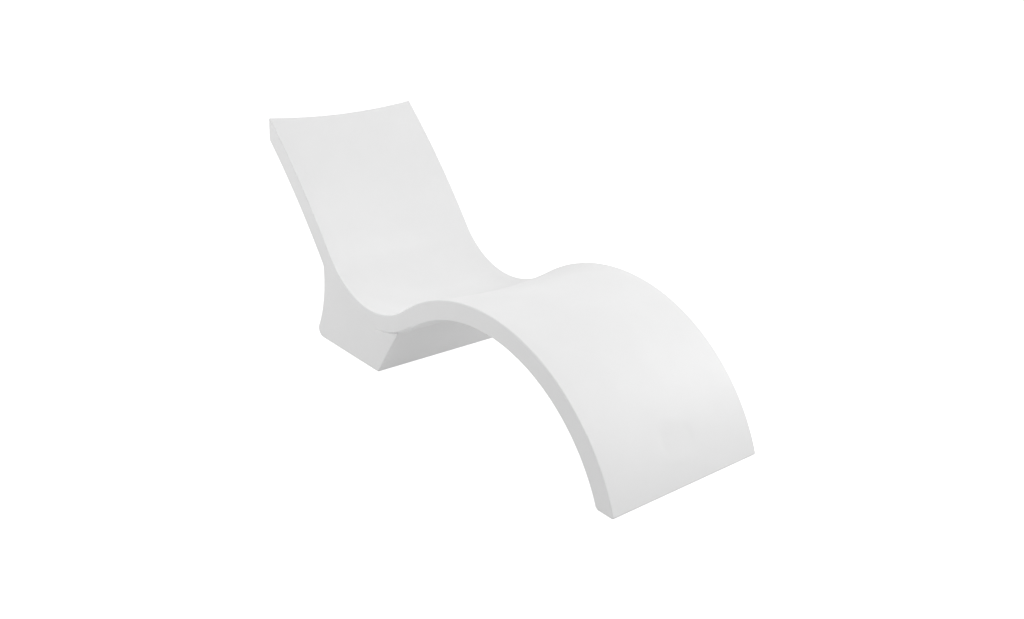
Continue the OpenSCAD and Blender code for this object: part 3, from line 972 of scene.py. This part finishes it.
class Paint:
    """A node material in the making."""

    def __init__(self, name):
        self.material = bpy.data.materials.new(name)
        self.material.use_nodes = True
        self.tree = self.material.node_tree
        self.shader = self.tree.nodes["Principled BSDF"]
        self.place = self.tree.nodes.new("ShaderNodeTexCoord").outputs["Object"]

    def node(self, kind, **settings):
        """A new node. A setting is the value of an input where it has one of that name."""
        made = self.tree.nodes.new(kind)
        for key, value in settings.items():
            if key in made.inputs:
                made.inputs[key].default_value = value
            else:
                setattr(made, key, value)
        return made

    def link(self, a, b):
        self.tree.links.new(a, b)

    def set(self, **values):
        """Sets plain values on the shader's own inputs. An underscore stands for a space."""
        for key, value in values.items():
            self.shader.inputs[key.replace("_", " ")].default_value = value

    def feed(self, key, value):
        """Links a value to an input of the shader."""
        self.link(value, self.shader.inputs[key])

    def noise(self, scale, detail=3.0, rough=0.5, stretch=None):
        """A noise pattern, stretched where its scale differs from axis to axis."""
        made = self.node("ShaderNodeTexNoise", Scale=scale, Detail=detail, Roughness=rough)
        source = self.place
        if stretch:
            mapping = self.node("ShaderNodeMapping", Scale=stretch)
            self.link(self.place, mapping.inputs["Vector"])
            source = mapping.outputs[0]
        self.link(source, made.inputs["Vector"])
        return made.outputs["Fac"]

    def ramp(self, value, stops):
        """Colours along a value: (place, colour) rows."""
        made = self.node("ShaderNodeValToRGB")
        elements = made.color_ramp.elements
        while len(elements) < len(stops):
            elements.new(0.5)
        for element, (at, rgb) in zip(elements, stops):
            element.position = at
            element.color = (*rgb, 1)
        self.link(value, made.inputs["Fac"])
        return made.outputs["Color"]

    def level(self, value, low, high, to_low, to_high):
        """A value moved from one range to another."""
        made = self.node("ShaderNodeMapRange")
        for key, number in (("From Min", low), ("From Max", high), ("To Min", to_low), ("To Max", to_high)):
            made.inputs[key].default_value = number
        self.link(value, made.inputs["Value"])
        return made.outputs["Result"]

    def bump(self, layers):
        """Stacks height patterns: (value, strength, distance) rows."""
        last = None
        for value, strength, distance in layers:
            made = self.node("ShaderNodeBump", Strength=strength, Distance=distance)
            self.link(value, made.inputs["Height"])
            if last:
                self.link(last, made.inputs["Normal"])
            last = made.outputs["Normal"]
        self.feed("Normal", last)


def scaled(rgb, share):
    """A lighter or darker colour, kept within white."""
    return tuple(min(1.0, c * share) for c in rgb)


def moulded_polyethylene(rgb):
    """White rotationally moulded plastic: faint clouding, a soft sheen and a fine pebbled skin."""
    p = Paint("moulded_polyethylene")
    cloud = p.noise(5.0, 4.0, 0.55)
    p.feed("Base Color", p.ramp(cloud, [(0.30, scaled(rgb, 0.985)), (0.70, scaled(rgb, 1.012))]))
    fine = p.noise(620.0, 2.0, 0.5)
    wave = p.noise(34.0, 3.0, 0.5)
    p.feed("Roughness", p.level(wave, 0.3, 0.7, 0.46, 0.54))
    p.set(IOR=1.51, Specular_IOR_Level=0.35)
    p.bump([(fine, 0.10, 0.0004), (wave, 0.05, 0.0010)])
    return p.material


def plug_nylon(rgb):
    """White nylon: a little warmer and smoother than the shell, with a fine grain."""
    p = Paint("plug_nylon")
    cloud = p.noise(60.0, 3.0, 0.5)
    p.feed("Base Color", p.ramp(cloud, [(0.30, scaled(rgb, 0.965)), (0.70, scaled(rgb, 1.01))]))
    p.feed("Roughness", p.level(p.noise(140.0), 0.3, 0.7, 0.36, 0.46))
    p.set(IOR=1.53)
    p.bump([(p.noise(1500.0, 2.0), 0.12, 0.0002)])
    return p.material


def insert_brass(rgb):
    """Machined brass, dulled by water: fine turning marks and a few darker stains."""
    p = Paint("insert_brass")
    stain = p.noise(90.0, 5.0, 0.6)
    dark = tuple(c * k for c, k in zip(rgb, (0.62, 0.58, 0.62)))
    p.feed("Base Color", p.ramp(stain, [(0.36, dark), (0.58, rgb), (0.80, scaled(rgb, 1.12))]))
    p.set(Metallic=1.0)
    p.feed("Roughness", p.level(stain, 0.3, 0.7, 0.48, 0.26))
    p.bump([(p.noise(900.0, 2.0, 0.5, (1.0, 0.2, 0.2)), 0.15, 0.0002)])
    return p.material


def seal_rubber(rgb):
    """Black moulded rubber with a dusty bloom."""
    p = Paint("seal_rubber")
    bloom = p.noise(240.0, 4.0, 0.6)
    p.feed("Base Color", p.ramp(bloom, [(0.35, rgb), (0.75, scaled(rgb, 2.2))]))
    p.feed("Roughness", p.level(bloom, 0.3, 0.7, 0.50, 0.68))
    p.bump([(p.noise(1800.0, 2.0), 0.10, 0.0001)])
    return p.material


# Screw plug


def plug_head(ports):
    """Closed skin of a plug's head, neck and hollow shank round its own Z, with 0 at the pocket's floor."""
    phi = np.linspace(0, 2 * math.pi, NOTCH_POINTS * ports.notches, endpoint=False)
    low, high = ports.head_lift, ports.head_lift + ports.head_thick
    soft = PLUG_ROUND
    wave = np.clip((np.cos(ports.notches * phi) - NOTCH_CUT) / (1 - NOTCH_CUT), 0, 1)
    rim = ports.head - NOTCH_DEPTH * ports.notch * smooth(wave)
    rows = []

    def ring(radius, z):
        rows.append(np.stack(np.broadcast_arrays(radius * np.cos(phi), radius * np.sin(phi), z), -1))

    def top_of(radius):
        """Height of the top at this radius: rim, finger recess and the grip bar across it."""
        y = np.abs(radius * np.sin(phi))
        inside = smooth(np.clip((ports.head - ports.rim - radius) / SLOPE_WIDTH + 0.5, 0, 1))
        beside = smooth(np.clip((y - ports.grip / 2) / SLOPE_WIDTH + 0.5, 0, 1))
        crown = CROWN * (1 - (radius / ports.head) ** 2)
        dip = BAR_DIP * np.clip((y / (ports.grip / 2)) ** 4, 0, 1) * (1 - beside)
        return high + crown - ports.grip_depth * inside * beside - dip

    # From the middle of the top outwards and down, then the underside, the neck and the shank with its bore
    for share in np.linspace(TOP_START, 1, TOP_RINGS) ** TOP_CROWDING:
        ring((rim - soft) * share, top_of((ports.head - soft) * share))
    edge = top_of(ports.head - soft)
    for a in turns(PLUG_STEPS):
        ring(rim - soft * (1 - math.sin(a)), edge - soft * (1 - math.cos(a)))
    for a in turns(PLUG_STEPS, 0):
        ring(rim - soft * (1 - math.cos(a)), low + soft * (1 - math.sin(a)))
    neck, core, bore, end = ports.neck, ports.core, ports.bore, -ports.shank
    for radius, z in (
        (neck + CHAMFER, low),
        (neck, low - CHAMFER),
        (neck, NECK_END + NECK_CHAMFER),
        (neck - NECK_CHAMFER, NECK_END),
        (core, NECK_END),
        (core, end + TIP_CHAMFER),
        (core - TIP_CHAMFER, end),
        (bore + CHAMFER, end),
        (bore, end + CHAMFER),
        (bore, BORE_FLOOR - BORE_CHAMFER),
        (bore - BORE_CHAMFER, BORE_FLOOR),
        (BORE_MIDDLE, BORE_FLOOR),
    ):
        ring(radius, z)
    table = np.arange(len(rows) * len(phi)).reshape(len(rows), -1)
    table = np.concatenate([table, table[:, :1]], 1)
    a, b, c, d = table[:-1, :-1], table[1:, :-1], table[1:, 1:], table[:-1, 1:]
    faces = np.stack([a, b, c, d], -1).reshape(-1, 4).tolist()
    faces.append(table[0, :-1].tolist())
    faces.append(table[-1, :-1][::-1].tolist())
    return np.concatenate(rows), faces


def thread_rule(ports, material):
    """A thread: a helix of the named pitch, swept with a tapered ridge and joined to the plug's skin."""
    rule = Rule("Thread on the shank")
    radius = rule.size("Root radius", ports.core - THREAD_ROOT)
    pitch = rule.size("Pitch", ports.pitch)
    count = rule.size("Turns", (ports.shank + NECK_END - ports.pitch) / ports.pitch)
    low = rule.size("Lowest point", -ports.shank + ports.pitch / 2)
    height = rule.size("Ridge height", ports.crest - ports.core + THREAD_ROOT)
    width = rule.size("Ridge width", ports.pitch * RIDGE_SHARE)
    helix = rule.node("GeometryNodeCurveSpiral", THREAD_POINTS)
    for key, value in (
        ("Rotations", count), ("Start Radius", radius), ("End Radius", radius), ("Height", pitch * count)
    ):
        rule.join(value, helix.inputs[key])
    lift = rule.node("ShaderNodeCombineXYZ", 0.0, 0.0, low)
    placed = rule.node("GeometryNodeTransform", helix.outputs[0])
    rule.join(lift.outputs[0], placed.inputs["Translation"])
    upright = rule.node("GeometryNodeSetCurveNormal", placed.outputs[0])
    upright.mode = "Z_UP"
    section = rule.node("GeometryNodeCurvePrimitiveQuadrilateral", mode="TRAPEZOID")
    for key, value in (
        ("Height", height), ("Bottom Width", width), ("Top Width", width * CREST_SHARE), ("Offset", 0.0)
    ):
        rule.join(value, section.inputs[key])
    ridge = rule.node("GeometryNodeCurveToMesh", upright.outputs[0], section.outputs[0])
    ridge.inputs["Fill Caps"].default_value = True
    both = rule.node("GeometryNodeJoinGeometry")
    rule.tree.links.new(ridge.outputs[0], both.inputs[0])
    rule.tree.links.new(rule.start.outputs[0], both.inputs[0])
    rule.finish(both.outputs[0], material)
    return rule


# Operators


def new_object(name, data):
    obj = bpy.data.objects.new(name, data)
    bpy.context.scene.collection.objects.link(obj)
    return obj


def port_frames():
    """Middle of the pocket's floor, outward direction and plug body of each port, from the frame's joints."""
    found = {}
    for joint in frame["joints"]:
        if joint["type"] == "hinge":
            axis = Vector(joint["axis"]).normalized()
            found[joint["name"].split("_")[0]] = Vector(joint["pos_m"]), axis, joint["child"]
    return found


def port_places(f, ports):
    """Each port's stretch of the outline, its centre there, and the centre and radius of that hollow arc."""
    stretches = {
        "fill": ("under_back", f.c[BACK], f.r[BACK] - f.t),
        "heel": ("rear", f.rear, f.pedestal.rear_radius),
        "foot": ("under_leg", f.c[LEG], f.r[LEG] - f.t),
    }
    places = []
    for name, (floor, axis, _) in port_frames().items():
        mouth = np.array((floor + axis * ports.depth).yz)
        stretch, c, r = stretches[name]
        places.append((stretch, toward(c, mouth, r), c, r))
    return places


class LOUNGER_OT_shell(bpy.types.Operator):
    """Build the moulded shell: one closed skin with its pedestal, dish, round flat and port pockets"""

    bl_idname = "lounger.shell"
    bl_label = "Moulded shell"

    def execute(self, context):
        body, pedestal, ports, colours = sizes()
        f = Profile(body, pedestal)
        bm = shell_blank(f, ports, port_places(f, ports))

        # Lay the body flat, then let the rule bend it
        layer = bm.verts.layers.int["part"]
        bends = np.array([vert[layer] != BASE for vert in bm.verts])
        places = np.array([vert.co for vert in bm.verts])
        flat = np.stack([places[:, 0], *f.lay(places[:, 1:])], -1)
        for vert, place, moves in zip(bm.verts, flat, bends):
            if moves:
                vert.co = place
        mesh = bpy.data.meshes.new("shell_skin")
        bm.to_mesh(mesh)
        bm.free()
        mesh.attributes.new("bends", "BOOLEAN", "POINT").data.foreach_set("value", bends)
        shell = new_object("shell_skin", mesh)
        bending_rule(f, moulded_polyethylene(colours.shell)).apply(shell)
        for name in ("bends", "part"):
            shell.data.attributes.remove(shell.data.attributes[name])
        shell.data.shade_smooth()
        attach(shell, "shell")
        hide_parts("moulded_shell")
        return {"FINISHED"}


class LOUNGER_OT_plugs(bpy.types.Operator):
    """Build the screw plugs, each turned into its port"""

    bl_idname = "lounger.plugs"
    bl_label = "Screw plugs"

    def execute(self, context):
        *_, ports, colours = sizes()
        material = plug_nylon(colours.plug)
        points, faces = plug_head(ports)
        rule = thread_rule(ports, material)
        for name, (floor, axis, body) in port_frames().items():
            mesh = bpy.data.meshes.new(f"{name}_screw_plug")
            mesh.from_pydata(points.tolist(), [], faces)
            plug = new_object(f"{name}_screw_plug", mesh)
            rule.apply(plug)
            across = Vector((1, 0, 0))
            turn = Matrix((across, axis.cross(across), axis)).transposed().to_4x4()
            plug.data.transform(Matrix.Translation(floor) @ turn)
            plug.data.shade_smooth()
            plug.data.set_sharp_from_angle(angle=math.radians(SHARP_ANGLE))
            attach(plug, body)
            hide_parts(f"{name}_plug")
        return {"FINISHED"}


class LOUNGER_OT_inserts(bpy.types.Operator):
    """Finish the brass inserts and the rubber seals, which keep their own shapes"""

    bl_idname = "lounger.inserts"
    bl_label = "Inserts and seals"

    def execute(self, context):
        *_, colours = sizes()
        finishes = {"insert": insert_brass(colours.brass), "seal": seal_rubber(colours.rubber)}
        for name, node in frame["nodes"].items():
            kind = name.rsplit("_", 1)[-1]
            if kind in finishes:
                node.data.materials.clear()
                node.data.materials.append(finishes[kind])
        return {"FINISHED"}


def studio_floor(rgb):
    """A matt floor under the lounger. To the camera it is white, and it lights the underside softly."""
    reach = FLOOR_REACH
    corners = [(-reach, -reach), (reach, -reach), (reach, reach), (-reach, reach)]
    mesh = bpy.data.meshes.new("floor")
    mesh.from_pydata([(x, y, -FLOOR_DROP) for x, y in corners], [], [(0, 1, 2, 3)])
    paint = Paint("studio_floor")
    paint.set(Base_Color=(*rgb, 1), Roughness=0.9, Specular_IOR_Level=0.0, Emission_Color=(1, 1, 1, 1))
    glow = paint.node("ShaderNodeMath", operation="MULTIPLY_ADD")
    paint.link(paint.node("ShaderNodeLightPath").outputs["Is Camera Ray"], glow.inputs[0])
    glow.inputs[1].default_value = 1 - FLOOR_GLOW
    glow.inputs[2].default_value = FLOOR_GLOW
    paint.feed("Emission Strength", glow.outputs[0])
    mesh.materials.append(paint.material)
    new_object("floor", mesh)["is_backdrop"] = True


def studio_world():
    """A dim world for the light, and a white one for the camera and for reflections."""
    world = bpy.data.worlds.new("studio")
    bpy.context.scene.world = world
    world.use_nodes = True
    nodes, links = world.node_tree.nodes, world.node_tree.links
    dim, white = nodes["Background"], nodes.new("ShaderNodeBackground")
    for background, strength in ((dim, WORLD_LIGHT), (white, 1.0)):
        background.inputs["Color"].default_value = (1, 1, 1, 1)
        background.inputs["Strength"].default_value = strength
    rays = nodes.new("ShaderNodeLightPath")
    seen = nodes.new("ShaderNodeMath")
    seen.operation = "MAXIMUM"
    links.new(rays.outputs["Is Camera Ray"], seen.inputs[0])
    links.new(rays.outputs["Is Glossy Ray"], seen.inputs[1])
    mix = nodes.new("ShaderNodeMixShader")
    for source, socket in zip((seen, dim, white), mix.inputs):
        links.new(source.outputs[0], socket)
    links.new(mix.outputs[0], nodes["World Output"].inputs["Surface"])


def studio_lamps():
    """Square soft lamps, all turned to the lounger."""
    for name, (place, power) in LAMPS.items():
        lamp = bpy.data.lights.new(name, "AREA")
        lamp.shape = "SQUARE"
        lamp.size = LAMP_SIZE
        lamp.energy = power
        obj = new_object(name, lamp)
        obj.location = place
        obj.rotation_euler = (Vector(LAMP_AIM) - Vector(place)).to_track_quat("-Z", "Y").to_euler()


def studio_camera():
    """The camera of the photograph."""
    lens = bpy.data.cameras.new("camera")
    lens.sensor_width = SENSOR_WIDTH
    lens.lens = FOCAL_PIXELS / IMAGE_WIDTH * SENSOR_WIDTH
    camera = new_object("camera", lens)
    azimuth, elevation, roll = (math.radians(angle) for angle in CAMERA_TURN)
    back = Vector((
        math.sin(azimuth) * math.cos(elevation), -math.cos(azimuth) * math.cos(elevation), math.sin(elevation)
    ))
    level = (-back).cross(Vector((0, 0, 1))).normalized()
    down = (-back).cross(level)
    right = math.cos(roll) * level + math.sin(roll) * down
    up = math.sin(roll) * level - math.cos(roll) * down
    turn = Matrix((right, up, back)).transposed().to_4x4()
    camera.matrix_world = Matrix.Translation(CAMERA_PLACE) @ turn
    bpy.context.scene.camera = camera


class LOUNGER_OT_stage(bpy.types.Operator):
    """Set the plain floor, the soft light and the camera"""

    bl_idname = "lounger.stage"
    bl_label = "Studio"

    def execute(self, context):
        *_, colours = sizes()
        studio_floor(colours.floor)
        studio_world()
        studio_lamps()
        studio_camera()
        context.scene.view_settings.view_transform = "Standard"
        return {"FINISHED"}


class LOUNGER_PT_panel(bpy.types.Panel):
    """The lounger's steps and sizes in the sidebar"""

    bl_label = "Lounger"
    bl_idname = "LOUNGER_PT_panel"
    bl_space_type = "VIEW_3D"
    bl_region_type = "UI"
    bl_category = "Lounger"

    def draw(self, context):
        for operator in OPERATORS:
            self.layout.operator(operator.bl_idname)
        for group in sizes():
            box = self.layout.box()
            for key in group.__annotations__:
                box.prop(group, key)


OPERATORS = (LOUNGER_OT_shell, LOUNGER_OT_plugs, LOUNGER_OT_inserts, LOUNGER_OT_stage)
GROUPS = {
    "lounger_body": BodySizes,
    "lounger_pedestal": PedestalSizes,
    "lounger_ports": PortSizes,
    "lounger_colours": Colours,
}


def register():
    for made in (*GROUPS.values(), *OPERATORS, LOUNGER_PT_panel):
        bpy.utils.register_class(made)
    for name, group in GROUPS.items():
        setattr(bpy.types.Scene, name, bpy.props.PointerProperty(type=group))


def unregister():
    for name in GROUPS:
        delattr(bpy.types.Scene, name)
    for made in reversed((*GROUPS.values(), *OPERATORS, LOUNGER_PT_panel)):
        bpy.utils.unregister_class(made)


def main():
    register()
    bpy.ops.lounger.shell()
    bpy.ops.lounger.plugs()
    bpy.ops.lounger.inserts()
    bpy.ops.lounger.stage()
    boxes = {"cad": CAD_BOX, "visual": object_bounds()}
    {name: [list(corner) for corner in box] for name, box in boxes.items()}


if __name__ == "__main__":
    main()
